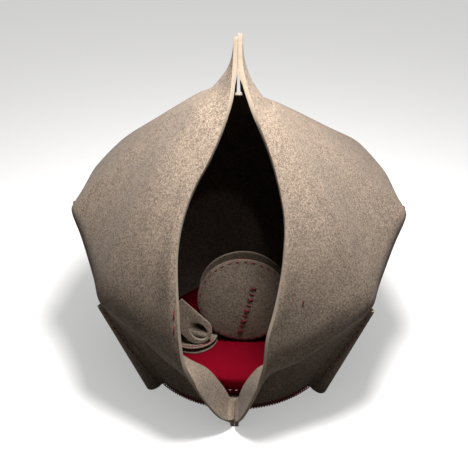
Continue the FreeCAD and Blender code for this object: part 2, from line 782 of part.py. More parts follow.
sketch.addGeometry(Part.ArcOfCircle(Part.Circle(Vector(hole_l, 0, 0), z_up, hole_w), -math.pi / 2,
                                    math.pi / 2))
sketch.addGeometry(Part.LineSegment(Vector(hole_l, hole_w, 0), Vector(-hole_l, hole_w, 0)))
constrain(sketch, "Coincident", 0, 3, -1, 1)
constrain(sketch, "Radius", 0, half_w, bound="sizes.loop_half_width")
pad = loop_body.newObject("PartDesign::Pad", "hand_loop_felt")
pad.Profile = sketch
pad.setExpression("Length", "sizes.felt_thickness")
sketch.Visibility = False

doc.recompute()
problems = []
for item in doc.Objects:
    if any(word in item.State for word in ("Invalid", "Error")):
        problems.append((item.Label, item.State))
for label, item in solids.items():
    shape = item.Shape
    if shape.isNull() or not shape.isValid() or not shape.Solids:
        problems.append((label, "bad shape"))
if problems:
    raise RuntimeError(f"not written: {problems}")
for label, item in solids.items():
    item.Shape.exportStep(f"parts/{label}.step")
print(len(solids), "nodes written")
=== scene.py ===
import math
import random

import bmesh
import bpy
import numpy as np
from bpy.props import FloatProperty, FloatVectorProperty, IntProperty
from mathutils import Euler, Matrix, Vector
from mathutils.bvhtree import BVHTree


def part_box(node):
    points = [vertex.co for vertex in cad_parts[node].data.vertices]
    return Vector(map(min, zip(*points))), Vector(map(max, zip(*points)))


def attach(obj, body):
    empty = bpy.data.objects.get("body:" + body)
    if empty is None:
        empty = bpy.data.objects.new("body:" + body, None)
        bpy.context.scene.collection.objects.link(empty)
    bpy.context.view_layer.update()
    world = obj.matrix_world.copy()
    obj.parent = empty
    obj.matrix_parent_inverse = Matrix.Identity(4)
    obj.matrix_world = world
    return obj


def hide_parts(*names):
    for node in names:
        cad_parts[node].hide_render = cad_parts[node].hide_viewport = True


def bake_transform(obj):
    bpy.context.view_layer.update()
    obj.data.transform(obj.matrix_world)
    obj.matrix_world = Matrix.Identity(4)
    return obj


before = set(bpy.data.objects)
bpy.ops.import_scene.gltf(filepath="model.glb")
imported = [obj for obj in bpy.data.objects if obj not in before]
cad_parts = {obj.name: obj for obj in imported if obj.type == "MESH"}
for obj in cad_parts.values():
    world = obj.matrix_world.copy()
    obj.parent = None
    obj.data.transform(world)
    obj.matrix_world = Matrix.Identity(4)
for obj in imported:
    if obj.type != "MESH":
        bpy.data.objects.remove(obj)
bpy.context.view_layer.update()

bl_info = {
    "name": "Felt pod chair",
    "version": (1, 0, 0),
    "blender": (4, 5, 0),
    "location": "3D View > Sidebar > Pod chair",
    "description": "Builds a felt cocoon chair with cushions over its CAD frame",
    "category": "Object",
}

SIDES = {"left": -1, "right": 1}
# Points of the slit edge, in metres: height, distance forward, and how far out on the left half
# and on the right half
FOLD = (0.227, 0.465, 0.122, 0.080)
SLIT = [
    (0.286, 0.475, 0.144, 0.091),
    (0.346, 0.475, 0.151, 0.095),
    (0.404, 0.465, 0.158, 0.098),
    (0.519, 0.430, 0.161, 0.125),
    (0.600, 0.395, 0.165, 0.134),
    (0.694, 0.340, 0.153, 0.140),
    (0.779, 0.285, 0.124, 0.126),
    (0.830, 0.250, 0.092, 0.111),
    (0.890, 0.210, 0.060, 0.088),
    (0.956, 0.165, 0.032, 0.057),
    (1.010, 0.130, 0.021, 0.036),
    (1.070, 0.100, 0.015, 0.017),
]
RIM = [(0.066, 0.430, 0.047, 0.028), (0.128, 0.445, 0.080, 0.050)]
CREASE = [
    (0.266, 0.455, 0.158, 0.108),
    (0.283, 0.430, 0.200, 0.172),
    (0.326, 0.400, 0.257, 0.255),
    (0.379, 0.360, 0.337, 0.341),
]
# Named corners of one half shell, for the right side; the left side mirrors x
DART_TOP = (0.420, -0.300, 0.413)
SIDE_CORNER = (0.554, 0.0, 0.562)
REAR_DART_TOP = (0.525, 0.195, 0.592)
REAR_CORNER = (0.436, 0.385, 0.636)
BELT_BACK = (0.00015, 0.500, 0.640)
# Middles of the belt's stretches between those corners
SIDE_BELT, DART_BELT = (0.482, -0.150, 0.484), (0.483, 0.293, 0.615)
REAR_BELT = (0.240, 0.472, 0.650)
SHOULDERS = {"left": (0.144, 0.020, 0.941), "right": (0.104, 0.020, 0.941)}
REAR_SHOULDERS = {"left": (0.106, 0.070, 0.950), "right": (0.102, 0.072, 0.908)}
TIP_HEIGHTS = {"left": 1.155, "right": 1.165}
RIDGE = (0.100, 0.932)
TIP_Y = -0.070
TOE_Y, TOE_Z = -0.405, 0.022
FRONT_DART, REAR_DART = 52.0, 128.0
SHOULDER_REACH = {"left": 0.075, "right": 0.045}
NECK_ROLL = {"left": 0.017, "right": 0.004}
SWELLS = {
    "left": {"front": 0.014, "side": 0.008, "back": 0.012},
    "right": {"front": 0.014, "side": 0.008, "back": 0.004},
}
N_RIM, N_CREASE, N_SIDE, N_REAR, N_DART, N_BACK = 4, 8, 5, 3, 4, 4
N_TOE, N_LOW, N_SEAM = 3, 6, 9
N_NECK = N_BACK
N_WIDE = N_SEAM + 1
N_UP = N_WIDE + N_NECK
# The rows above the rear shoulder are half as high as the others
UP_MARKS = np.array(list(range(N_WIDE)) + [N_WIDE + j / 2 for j in range(N_NECK + 1)]) / (
    N_WIDE + N_NECK / 2)
TUCK, TUCK_HEIGHT, TUCK_ROOM = 0.082, 0.260, 0.002
STEPS = 4
FELTS = ["grey felt", "cut felt edge"]
# Finish of the cut felt: how far its inner corner stands out, and how wide its corners are
EDGE_SLANT, EDGE_ROUND = 0.005, 0.0016
TIP_CLOSING, TIP_CLOSED, TOE_CLOSING = 1.035, 0.04, 0.05
CLOSE_GAP = 0.0004
FOOT_FELT, FOOT_ROUND, FOOT_ROWS, FOOT_ARC = 0.0075, 0.0014, 24, 12
# The seat pad: its radius, depth and middle height, and what it lies between
PAD_RADIUS, PAD_DEPTH, PAD_MIDDLE = 0.287, 0.076, 0.0575
PAD_BOTTOM, PAD_TOP = 0.0114, 0.1032
# The back cushion, flat in its own frame, and its place on the pad
CUSHION_SPOT = (Matrix.Translation((0.020, -0.054, 0.26058))
                @ Matrix.Rotation(math.radians(82), 4, "X"))
CUSHION_RADIUS, CUSHION_CROWN, CUSHION_FACE, CUSHION_CORE = 0.154, 0.016, 0.0322, 0.0258
CUSHION_DASHES, CUSHION_MARKS = 34, 9
ROUND_FELT = 0.006
# The side cushion and its hand loop
MAT_SPOT = Matrix.Translation((-0.150, -0.090, 0.1036))
MAT_RADIUS, MAT_SEWN, MAT_CORE, MAT_DASHES = 0.084, 0.078, 0.0069, 18
LOOP_CENTRE = Vector((-0.129, -0.140, 0.17615))
LOOP_HALF, LOOP_REACH, LOOP_HOLE, LOOP_ROUND = 0.046, 0.120, (0.036, 0.025), 0.0014
FLAP_DASHES = {
    "left": [((-0.169, -0.440, 0.491), (-0.169, -0.449, 0.463)),
             ((-0.169, -0.453, 0.448), (-0.170, -0.461, 0.418))],
    "right": [((0.194, -0.401, 0.507), (0.194, -0.405, 0.492))],
}
CAMERA_PLACE, CAMERA_DOWN, CAMERA_TURN = (0.0505, -2.149, 1.80), 31.668, 1.7


# Shader writing: a socket in an expression adds its maths nodes
class Signal:
    def __init__(self, finish, socket):
        self.finish, self.socket = finish, socket

    def maths(self, operation, other=None, swapped=False):
        pair = (other, self) if swapped else (self, other)
        inputs = {k: v for k, v in enumerate(pair) if v is not None}
        return self.finish.node("ShaderNodeMath", {"operation": operation}, inputs)

    def __add__(self, other):
        return self.maths("ADD", other)

    def __mul__(self, other):
        return self.maths("MULTIPLY", other)

    def __sub__(self, other):
        return self.maths("SUBTRACT", other)

    def __rsub__(self, other):
        return self.maths("SUBTRACT", other, swapped=True)

    __radd__, __rmul__ = __add__, __mul__

    def clamped(self):
        return self.finish.node("ShaderNodeClamp", {}, {0: self, 1: 0.0, 2: 1.0})

    def above(self, edge, softness):
        settings = {"interpolation_type": "SMOOTHSTEP"}
        inputs = {0: self, 1: edge - softness, 2: edge + softness, 3: 0.0, 4: 1.0}
        return self.finish.node("ShaderNodeMapRange", settings, inputs)


class Finish:
    def __init__(self, name, roughness, sheen=0.0, specular=0.12):
        self.material = bpy.data.materials.new(name)
        self.material.use_nodes = True
        self.tree = self.material.node_tree
        self.shader = self.tree.nodes["Principled BSDF"]
        self.shader.inputs["Roughness"].default_value = roughness
        self.shader.inputs["Sheen Weight"].default_value = sheen
        self.shader.inputs["Specular IOR Level"].default_value = specular

    def node(self, kind, settings, inputs, output=0):
        made = self.tree.nodes.new(kind)
        for name, value in settings.items():
            setattr(made, name, value)
        for name, value in inputs.items():
            if isinstance(value, Signal):
                self.tree.links.new(value.socket, made.inputs[name])
            else:
                made.inputs[name].default_value = value
        return Signal(self, made.outputs[output])

    def place(self):
        return self.node("ShaderNodeTexCoord", {}, {}, "Object")

    def noise(self, where, scale, detail=2.0, roughness=0.5, distortion=0.0):
        inputs = {"Vector": where, "Scale": scale, "Detail": detail, "Roughness": roughness,
                  "Distortion": distortion}
        return self.node("ShaderNodeTexNoise", {}, inputs, "Fac")

    def blend(self, factor, low, high):
        inputs = {0: factor, 6: low, 7: high}
        return self.node("ShaderNodeMix", {"data_type": "RGBA"}, inputs, 2)

    def tone(self, *shares):
        # A middle grey that each pattern moves up and down by its share
        return sum(((signal - 0.5) * share for signal, share in shares), 0.5).clamped()

    def shades(self, tone, colour, dark, pale):
        return self.blend(tone, shade(colour, dark), shade(colour, pale))

    def colour(self, signal):
        self.tree.links.new(signal.socket, self.shader.inputs["Base Color"])

    def bump(self, height, strength, distance):
        inputs = {"Height": height, "Strength": strength, "Distance": distance}
        normal = self.node("ShaderNodeBump", {}, inputs, "Normal")
        self.tree.links.new(normal.socket, self.shader.inputs["Normal"])


FIBRE_SCALE = 210.0


def shade(colour, share):
    return (*[min(1.0, c * share) for c in colour], 1.0)


def felt_finish(finish, colour):
    spot = finish.place()
    worms = finish.noise(spot, FIBRE_SCALE, 2.0, 0.55, 1.1)
    fleece = finish.noise(spot, 620.0, 2.0, 0.6, 0.6)
    clouds = finish.noise(spot, 26.0, 2.0)
    tone = finish.tone((worms, 3.7), (fleece, 2.2), (clouds, 0.5))
    pale_hairs = finish.noise(spot, 340.0, 1.0, 0.5, 2.2).above(0.66, 0.05)
    base = finish.shades(tone, colour, 0.48, 1.45)
    finish.colour(finish.blend(pale_hairs * 0.5, base, shade(colour, 2.1)))
    finish.bump(worms * 0.6 + fleece * 0.5, 0.35, 0.0012)


def cut_edge_finish(finish, colour):
    spot = finish.place()
    grain = finish.noise(spot, 700.0, 2.0, 0.6)
    bands = finish.noise(spot, 120.0, 2.0, 0.5)
    finish.colour(finish.shades(finish.tone((grain, 1.1), (bands, 0.7)), colour, 0.78, 1.14))
    finish.bump(grain, 0.3, 0.0008)


def yarn_finish(finish, colour):
    # The yarn has two plies, which turn with its length; its colour is darker in the grooves
    # between the plies and lighter on their crowns, which is painted shade and painted light
    lay = finish.node("ShaderNodeUVMap", {}, {})
    around = finish.node("ShaderNodeSeparateXYZ", {}, {0: lay})
    along = Signal(finish, around.socket.node.outputs[1])
    twist = ((around + along) * (4 * math.pi)).maths("SINE")
    hairs = finish.noise(finish.place(), 1500.0, 2.0, 0.6)
    tone = (0.5 + twist * 0.3 + (hairs - 0.5) * 0.7).clamped()
    finish.colour(finish.shades(tone, colour, 0.6, 1.35))
    finish.bump(twist * 0.5 + hairs * 0.4, 0.6, 0.0006)


def cloth_finish(finish, colour):
    spot = finish.place()
    nap = finish.noise(spot, 520.0, 3.0, 0.65, 0.4)
    clouds = finish.noise(spot, 14.0, 2.0)
    finish.colour(finish.shades(finish.tone((nap, 0.9), (clouds, 0.5)), colour, 0.78, 1.2))
    finish.bump(nap, 0.25, 0.0008)


def disc_finish(finish, felt, edge, radius):
    spot = finish.place()
    reach = finish.node("ShaderNodeVectorMath", {"operation": "LENGTH"}, {0: spot}, "Value")
    worms = finish.noise(spot, FIBRE_SCALE, 2.0, 0.55, 1.1)
    tone = finish.tone((worms, 2.1))
    plain = finish.shades(tone, felt, 0.66, 1.32)
    rim = reach.above(radius - 0.0005, 0.0004)
    finish.colour(finish.blend(rim, plain, finish.shades(tone, edge, 0.85, 1.1)))
    finish.bump(worms, 0.3, 0.001)


FINISHES = {}


def finish_named(name):
    if name not in FINISHES:
        tints = bpy.context.scene.pod_colours
        felt, edge = tuple(tints.felt), tuple(tints.cut_edge)
        # Each finish: roughness, sheen, gloss, what makes it, and its colours
        roughness, sheen, gloss, maker, *values = {
            "grey felt": (0.95, 0.04, 0.12, felt_finish, felt),
            "cut felt edge": (0.95, 0.05, 0.12, cut_edge_finish, edge),
            "red yarn": (0.85, 0.08, 0.12, yarn_finish, tuple(tints.yarn)),
            "grey thread": (0.85, 0.08, 0.12, yarn_finish, tuple(tints.thread)),
            "crimson wool": (0.95, 0.0, 0.03, cloth_finish, tuple(tints.pad)),
            "disc felt": (0.95, 0.04, 0.12, disc_finish, felt, edge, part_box("base_disc")[1][0]),
        }[name]
        finish = Finish(name.replace(" ", "_"), roughness, sheen, gloss)
        maker(finish, *values)
        FINISHES[name] = finish.material
    return FINISHES[name]


def settle(piece, slot, finishes, *nodes):
    # Gives a finished piece its materials, and hides the CAD parts that it stands for
    indices = [face.material_index for face in piece.data.polygons]
    piece.data.materials.clear()
    for name in finishes:
        piece.data.materials.append(finish_named(name))
    piece.data.polygons.foreach_set("material_index", indices)
    if nodes:
        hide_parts(*nodes)
    return piece


def mesh_piece(name, points, faces):
    mesh = bpy.data.meshes.new(name)
    mesh.from_pydata([tuple(p) for p in points], [], faces)
    mesh.update()
    piece = bpy.data.objects.new(name, mesh)
    bpy.context.scene.collection.objects.link(piece)
    return piece


def only(piece):
    bpy.ops.object.select_all(action="DESELECT")
    piece.select_set(True)
    bpy.context.view_layer.objects.active = piece


def modify(piece, kind, **settings):
    only(piece)
    modifier = piece.modifiers.new(kind.title(), kind)
    for name, value in settings.items():
        setattr(modifier, name, value)
    bpy.ops.object.modifier_apply(modifier=modifier.name)


def smooth(piece, degrees=35):
    only(piece)
    bpy.ops.object.shade_smooth_by_angle(angle=math.radians(degrees))


def felted(piece, thickness, **settings):
    # Gives an open net the thickness of its felt, inwards, with cut edges of their own finish
    for name in FELTS:
        piece.data.materials.append(finish_named(name))
    modify(piece, "SOLIDIFY", thickness=thickness, offset=-1, material_offset_rim=1, **settings)


def drum(name, vertices, radius, depth, height, edge, segments):
    # A plain round form with rounded edges, to be puffed up
    bpy.ops.object.select_all(action="DESELECT")
    bpy.ops.mesh.primitive_cylinder_add(vertices=vertices, radius=radius, depth=depth,
                                        location=(0, 0, height))
    piece = bpy.context.active_object
    piece.name = name
    bpy.ops.object.transform_apply()
    modify(piece, "BEVEL", width=edge, segments=segments, angle_limit=math.radians(50))
    return piece


def place(piece, matrix):
    piece.data.transform(matrix)
    piece.data.update()


def polar(radius, angle):
    return radius * math.cos(angle), radius * math.sin(angle)


# Curves and nets through named points, as the panels of the frame have them
beyond = {}


def key(p):
    return tuple(np.round(p, 5))


def remember(chain):
    for a, b, c in zip(chain, chain[1:], chain[2:]):
        beyond[(key(b), key(c))] = a
        beyond[(key(b), key(a))] = c


def spans(points):
    last = len(points) - 1
    tangents = []
    for i, here in enumerate(points):
        before = points[i - 1] if i else beyond.get((key(here), key(points[1])))
        after = points[i + 1] if i < last else beyond.get((key(here), key(points[-2])))
        back = here - before if before is not None else after - here
        ahead = after - here if after is not None else here - before
        tangent = back + ahead
        size = np.linalg.norm(tangent)
        reach = min(np.linalg.norm(back), np.linalg.norm(ahead))
        tangents.append(tangent * (reach / size) if size > 1e-9 else tangent)
    return tangents


def refined(points, steps):
    # Points along the curve; steps says how many parts each stretch gets
    tangents = spans(points)
    out = [points[0]]
    for i, parts in enumerate(steps):
        a, d = points[i], points[i + 1]
        b, c = a + tangents[i] / 3, d - tangents[i + 1] / 3
        for k in range(1, parts + 1):
            t = k / parts
            s = 1 - t
            out.append(a * s**3 + b * (3 * s * s * t) + c * (3 * s * t * t) + d * t**3)
    return np.array(out)


def between(points, i, parts):
    steps = [1] * i + [parts] + [1] * (len(points) - 2 - i)
    return refined(points, steps)[i:i + parts + 1]


def spline(points, count):
    # A smooth curve through a few points, divided into equal lengths
    points = np.array(points, float)
    lengths = np.concatenate([[0], np.cumsum(np.linalg.norm(np.diff(points, axis=0), axis=1))])
    n = len(points)
    rows, right = np.zeros((n, n)), np.zeros((n, 3))
    h = np.diff(lengths)
    rows[0, 0] = rows[-1, -1] = 1
    for i in range(1, n - 1):
        rows[i, i - 1:i + 2] = h[i - 1], 2 * (h[i - 1] + h[i]), h[i]
        right[i] = 6 * ((points[i + 1] - points[i]) / h[i] - (points[i] - points[i - 1]) / h[i - 1])
    bends = np.linalg.solve(rows, right)
    dense = []
    for t in np.linspace(0, lengths[-1], 600):
        i = min(int(np.searchsorted(lengths, t, side="right")) - 1, n - 2)
        a, b = (lengths[i + 1] - t) / h[i], (t - lengths[i]) / h[i]
        p = points[i] * a + points[i + 1] * b
        p = p + ((a**3 - a) * bends[i] + (b**3 - b) * bends[i + 1]) * h[i]**2 / 6
        dense.append(p)
    dense = np.array(dense)
    along = np.concatenate([[0], np.cumsum(np.linalg.norm(np.diff(dense, axis=0), axis=1))])
    marks = np.linspace(0, along[-1], count + 1)
    return np.stack([np.interp(marks, along, dense[:, k]) for k in range(3)], axis=1)


def straight(a, b, count):
    t = np.linspace(0, 1, count + 1)[:, None]
    return np.array(a) * (1 - t) + np.array(b) * t


def floor_point(azimuth, radius, height, side):
    a = math.radians(azimuth)
    return np.array([side * radius * math.sin(a), -radius * math.cos(a), height])


def coons(bottom, top, left, right, marks=None):
    u = np.linspace(0, 1, len(bottom))[None, :, None]
    v = (np.linspace(0, 1, len(left)) if marks is None else marks)[:, None, None]
    net = bottom[None] * (1 - v) + top[None] * v + left[:, None] * (1 - u) + right[:, None] * u
    net = net - bottom[0] * (1 - u) * (1 - v) - bottom[-1] * u * (1 - v)
    return net - top[0] * (1 - u) * v - top[-1] * u * v


def swollen(net, side, height, marks=None):
    du, dv = np.gradient(net, axis=1), np.gradient(net, axis=0)
    normals = np.cross(du, dv) * side
    normals /= np.linalg.norm(normals, axis=2)[:, :, None]
    u = np.linspace(0, 1, net.shape[1])[None, :, None]
    v = (np.linspace(0, 1, net.shape[0]) if marks is None else marks)[:, None, None]
    return net + normals * (height * 16 * u * (1 - u) * v * (1 - v))


def joined(*lines):
    return np.concatenate([lines[0]] + [line[1:] for line in lines[1:]])


def half_nets(hand):
    side = SIDES[hand]
    settings = bpy.context.scene.pod_shell

    def edge(row):
        return np.array([side * (row[2] if side < 0 else row[3]), -row[1], row[0]])

    def mirror(p):
        return np.array(p) * (side, 1, 1)

    tip_x = 0.0015 + settings.felt
    toe = np.array([side * tip_x, TOE_Y, TOE_Z])
    toe_floor = np.array([side * tip_x, TOE_Y + 0.006, 0.0])
    fold, dart, corner = edge(FOLD), mirror(DART_TOP), mirror(SIDE_CORNER)
    rear_dart, rear_corner = mirror(REAR_DART_TOP), mirror(REAR_CORNER)
    belt_back = mirror(BELT_BACK)
    shoulder, rear_shoulder = mirror(SHOULDERS[hand]), mirror(REAR_SHOULDERS[hand])
    ridge = np.array([side * tip_x, *RIDGE])
    tip = np.array([side * tip_x, TIP_Y, TIP_HEIGHTS[hand]])

    rim = spline([toe] + [edge(r) for r in RIM] + [fold], N_RIM)
    crease = spline([fold] + [edge(r) for r in CREASE] + [dart], N_CREASE)
    belt_side = spline([dart, mirror(SIDE_BELT), corner], N_SIDE)
    belt_rear = straight(corner, rear_dart, N_REAR)
    belt_dart = spline([rear_dart, mirror(DART_BELT), rear_corner], N_DART)
    belt_last = spline([rear_corner, mirror(REAR_BELT), belt_back], N_BACK)
    half_rows = spline([fold] + [edge(r) for r in SLIT] + [tip], 2 * N_WIDE + N_NECK)
    front = np.concatenate([half_rows[:2 * N_WIDE:2], half_rows[2 * N_WIDE:]])
    seam = straight(corner, shoulder, N_SEAM)
    neck_mid = (rear_shoulder + ridge) / 2 + (0, -0.002, 0.006)
    neck = spline([rear_shoulder, neck_mid, ridge], N_NECK)
    top = spline([tip, (side * (tip_x + 0.002), 0.005, 1.040), ridge], N_CREASE + N_SIDE)
    rear_seam = straight(rear_corner, rear_shoulder, N_SEAM)
    back_seam = spline([belt_back, (side * 0.002, 0.330, 0.815), (side * 0.007, 0.190, 0.893),
                        ridge], N_SEAM)
    belt = joined(rim, crease, belt_side, belt_rear, belt_dart, belt_last)
    shoulder_line = np.concatenate([seam, neck])
    remember(belt)
    remember(shoulder_line)
    crest = between(shoulder_line, N_SEAM, (N_REAR + N_DART) * STEPS)

    nets = {
        "front": coons(joined(crease, belt_side), top, front, shoulder_line, UP_MARKS),
        "side": coons(joined(belt_rear, belt_dart), crest[::STEPS], seam, rear_seam),
        "back": coons(belt_last, neck, rear_seam, back_seam),
    }
    for name, height in SWELLS[hand].items():
        nets[name] = swollen(nets[name], side, height, UP_MARKS if name == "front" else None)
    columns = nets["front"].shape[1] - 1
    for j in range(N_SEAM - 3, N_UP):
        fade = min(1, (N_UP - j) / 2, (j - N_SEAM + 4) / 4)
        for i in range(1, columns):
            roll = NECK_ROLL[hand] * math.sin(math.pi * i / columns) * fade
            nets["front"][j, i] += np.array([side * 0.6, 0, 0.8]) * roll

    base_r = settings.base_radius
    first = math.degrees(math.asin(tip_x / base_r))
    last = 180 - math.degrees(math.asin(BELT_BACK[0] / base_r))

    def arc(a0, a1, count):
        return np.array([floor_point(a0 + (a1 - a0) * k / count, base_r, 0, side)
                         for k in range(count + 1)])

    front_arc = arc(first, FRONT_DART, N_RIM + N_CREASE - N_TOE)
    side_arc = arc(FRONT_DART, REAR_DART, N_SIDE + N_REAR)
    back_arc = arc(REAR_DART, last, N_DART + N_BACK)
    dart_line = straight(front_arc[-1], dart, N_LOW)
    rear_dart_line = straight(side_arc[-1], rear_dart, N_LOW)
    low_seam = spline([back_arc[-1], (back_arc[-1][0], 0.425, 0.300), belt_back], N_LOW)
    low = coons(joined(straight(toe_floor, front_arc[0], N_TOE), front_arc), joined(rim, crease),
                straight(toe_floor, toe, N_LOW), dart_line)
    m, n = low.shape[0] - 1, low.shape[1] - 1
    for j in range(1, m):
        for i in range(1, n):
            u, v = i / n, j / m
            p = low[j, i]
            r = math.hypot(p[0], p[1])
            pull = TUCK * min(1, low[m, i, 2] / TUCK_HEIGHT) * (1 - u**3) * math.sin(math.pi * v)
            pull = min(pull, r - base_r - TUCK_ROOM)
            low[j, i] = p + np.array([-p[0] / r, -p[1] / r, 0.2]) * pull
    nets["low_front"] = low
    nets["low_side"] = swollen(coons(side_arc, joined(belt_side, belt_rear), dart_line,
                                     rear_dart_line), side, 0.006)
    nets["low_back"] = swollen(coons(back_arc, joined(belt_dart, belt_last), rear_dart_line,
                                     low_seam), side, 0.010)
    lines = {"belt": joined(belt_side, belt_rear, belt_dart, belt_last), "crease": crease,
             "ridges": (seam, rear_seam)}
    return nets, crest, lines


def panel_net(name, net, crest):
    # The stretch between the shoulders has the side panel's divisions on both panels
    across = [STEPS] * (net.shape[1] - 1)
    upwards = [STEPS] * (net.shape[0] - 1)
    if name == "front":
        upwards[N_SEAM] = len(crest) - 1
    rows = np.array([refined(row, across) for row in net])
    fine = np.array([refined(rows[:, i], upwards) for i in range(rows.shape[1])])
    fine = fine.transpose(1, 0, 2)
    if name == "side":
        fine[-1] = crest
    return fine


def distance_to(points, line):
    best = np.full(len(points), 9.0)
    for a, b in zip(line, line[1:]):
        ab = b - a
        t = np.clip(((points - a) @ ab) / max(ab @ ab, 1e-12), 0, 1)
        best = np.minimum(best, np.linalg.norm(points - a - t[:, None] * ab, axis=1))
    return best


def band(points, line, reach):
    # A weight that is 1 on the line and fades with the distance from it
    return np.exp(-((distance_to(points, line) / reach) ** 2))


def vertices_where(piece, test):
    work = bmesh.new()
    work.from_mesh(piece.data)
    found = [v.index for v in work.verts if test(v)]
    work.free()
    return found


def relax(piece, weights, rounds):
    # Evens out a net where its weights say, and leaves its open edges alone
    mesh = piece.data
    count = len(mesh.vertices)
    points = np.zeros(count * 3)
    mesh.vertices.foreach_get("co", points)
    points = points.reshape(-1, 3)
    ends = np.zeros(len(mesh.edges) * 2, int)
    mesh.edges.foreach_get("vertices", ends)
    ends = ends.reshape(-1, 2)
    weights = weights.copy()
    weights[vertices_where(piece, lambda v: v.is_boundary)] = 0
    degree = np.bincount(ends.ravel(), minlength=count)[:, None]
    for _ in range(rounds):
        total = np.zeros_like(points)
        np.add.at(total, ends[:, 0], points[ends[:, 1]])
        np.add.at(total, ends[:, 1], points[ends[:, 0]])
        points += (total / degree - points) * (0.5 * weights)[:, None]
    mesh.vertices.foreach_set("co", points.ravel())
    mesh.update()


def net_faces(rows, columns, start=0, flipped=False):
    faces = []
    for j in range(rows - 1):
        for i in range(columns - 1):
            a = start + j * columns + i
            ring = (a, a + 1, a + 1 + columns, a + columns)
            faces.append(ring[::-1] if flipped else ring)
    return faces


def half_surface(hand):
    side = SIDES[hand]
    nets, crest, lines = half_nets(hand)
    points, faces = [], []
    for name, net in nets.items():
        fine = panel_net(name, net, crest)
        faces += net_faces(*fine.shape[:2], len(points), side < 0)
        points.extend(fine.reshape(-1, 3))
    piece = mesh_piece(f"{hand}_half_shell", points, faces)
    work = bmesh.new()
    work.from_mesh(piece.data)
    bmesh.ops.remove_doubles(work, verts=work.verts, dist=0.0002)
    bmesh.ops.dissolve_degenerate(work, edges=work.edges, dist=0.0002)
    work.to_mesh(piece.data)
    work.free()
    co = np.array([v.co for v in piece.data.vertices])
    # The sewn ridges between the panels stay sharp
    creases = piece.data.attributes.new("crease_edge", "FLOAT", "EDGE")
    for line in lines["ridges"]:
        on_line = distance_to(co, line) < 0.0015
        for edge in piece.data.edges:
            if on_line[edge.vertices[0]] and on_line[edge.vertices[1]]:
                edge.use_edge_sharp = True
                creases.data[edge.index].value = 0.9
    # Close to the belt, the crease and the shoulder the felt turns in a soft roll
    near = band(co, lines["belt"], 0.045)
    for corner in (SIDE_CORNER, DART_TOP):
        point = np.array(corner) * (side, 1, 1)
        near *= 1 - 0.85 * np.exp(-((np.linalg.norm(co - point, axis=1) / 0.05) ** 2))
    relax(piece, near, 14)
    relax(piece, band(co, lines["crease"], 0.012), 2)
    relax(piece, band(co, crest, SHOULDER_REACH[hand]), 40)
    return piece


def edge_slants(piece):
    # How far the inner corner of each free edge stands out past the outer one, so that the cut
    # face of the felt shows from the front
    work = bmesh.new()
    work.from_mesh(piece.data)
    slants = {}
    for vertex in work.verts:
        free = [e for e in vertex.link_edges if e.is_boundary]
        if not free or vertex.co.z < 0.02 or vertex.co.y > 0.09:
            continue
        along = sum(((e.other_vert(vertex).co - vertex.co) * (1 if k else -1)
                     for k, e in enumerate(free)), Vector())
        along.normalize()
        middle = sum((f.calc_center_median() for f in vertex.link_faces), Vector())
        away = vertex.co - middle / len(vertex.link_faces)
        away -= along * away.dot(along)
        slants[vertex.index] = away.normalized() * EDGE_SLANT
    work.free()
    return slants


def at_back_seam(vertex):
    return vertex.is_boundary and vertex.co.y > 0.12 and abs(vertex.co.x) < 0.02


def surface_tree(piece):
    return BVHTree.FromPolygons([v.co for v in piece.data.vertices],
                                [tuple(p.vertices) for p in piece.data.polygons])


def yarn(name, paths, radius, sides=8):
    # Round strands along short paths, with the turn and the run of the yarn in their UV map
    points, faces, turns = [], [], []
    for path in paths:
        path = [Vector(p) for p in path]
        start = len(points)
        run = 0.0
        side_way = None
        for k, p in enumerate(path):
            way = (path[min(k + 1, len(path) - 1)] - path[max(k - 1, 0)]).normalized()
            if side_way is None:
                side_way = way.orthogonal().normalized()
            side_way = (side_way - way * side_way.dot(way)).normalized()
            up = way.cross(side_way)
            girth = radius * (0.55 if k in (0, len(path) - 1) else 1.0)
            if k:
                run += (p - path[k - 1]).length / 0.006
            for s in range(sides):
                a = 2 * math.pi * s / sides
                points.append(p + (side_way * math.cos(a) + up * math.sin(a)) * girth)
        runs = np.linspace(0, run, len(path))
        for k in range(len(path) - 1):
            for s in range(sides):
                t = (s + 1) % sides
                a, b = start + k * sides, start + (k + 1) * sides
                faces.append((a + s, a + t, b + t, b + s))
                u0, u1 = s / sides, (s + 1) / sides
                turns.append([(u0, runs[k]), (u1, runs[k]), (u1, runs[k + 1]), (u0, runs[k + 1])])
        end = start + (len(path) - 1) * sides
        faces.append(tuple(start + s for s in range(sides))[::-1])
        faces.append(tuple(end + s for s in range(sides)))
        turns.append([(s / sides, 0.0) for s in range(sides)][::-1])
        turns.append([(s / sides, run) for s in range(sides)])
    piece = mesh_piece(name, points, faces)
    layer = piece.data.uv_layers.new(name="UVMap")
    layer.data.foreach_set("uv", [c for face in turns for uv in face for c in uv])
    work = bmesh.new()
    work.from_mesh(piece.data)
    bmesh.ops.recalc_face_normals(work, faces=work.faces)
    work.to_mesh(piece.data)
    work.free()
    smooth(piece, 60)
    return piece


STITCH_PARTS = 6


def stitch_path(a, b, out, radius, lift=1.0):
    # A short strand that rises out of the felt at a and goes back in at b
    a, b, out = Vector(a), Vector(b), Vector(out)
    path = []
    for k in range(STITCH_PARTS + 1):
        t = k / STITCH_PARTS
        height = radius * (lift * 1.9 * math.sin(math.pi * t) ** 0.5 - 1.1)
        path.append(a.lerp(b, t) + out * height)
    return path


def sewn(tree, a, b, radius, lift=1.0):
    start, normal_a = tree.find_nearest(Vector(a))[:2]
    end, normal_b = tree.find_nearest(Vector(b))[:2]
    return stitch_path(start, end, (normal_a + normal_b).normalized(), radius, lift)


def red_stitches(name, paths, radius, node, body=None):
    piece = yarn(name, paths, radius)
    settle(piece, "yarn", ["red yarn"], node)
    if body:
        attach(piece, body)
    return piece


def bend_with_flap(piece):
    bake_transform(piece)


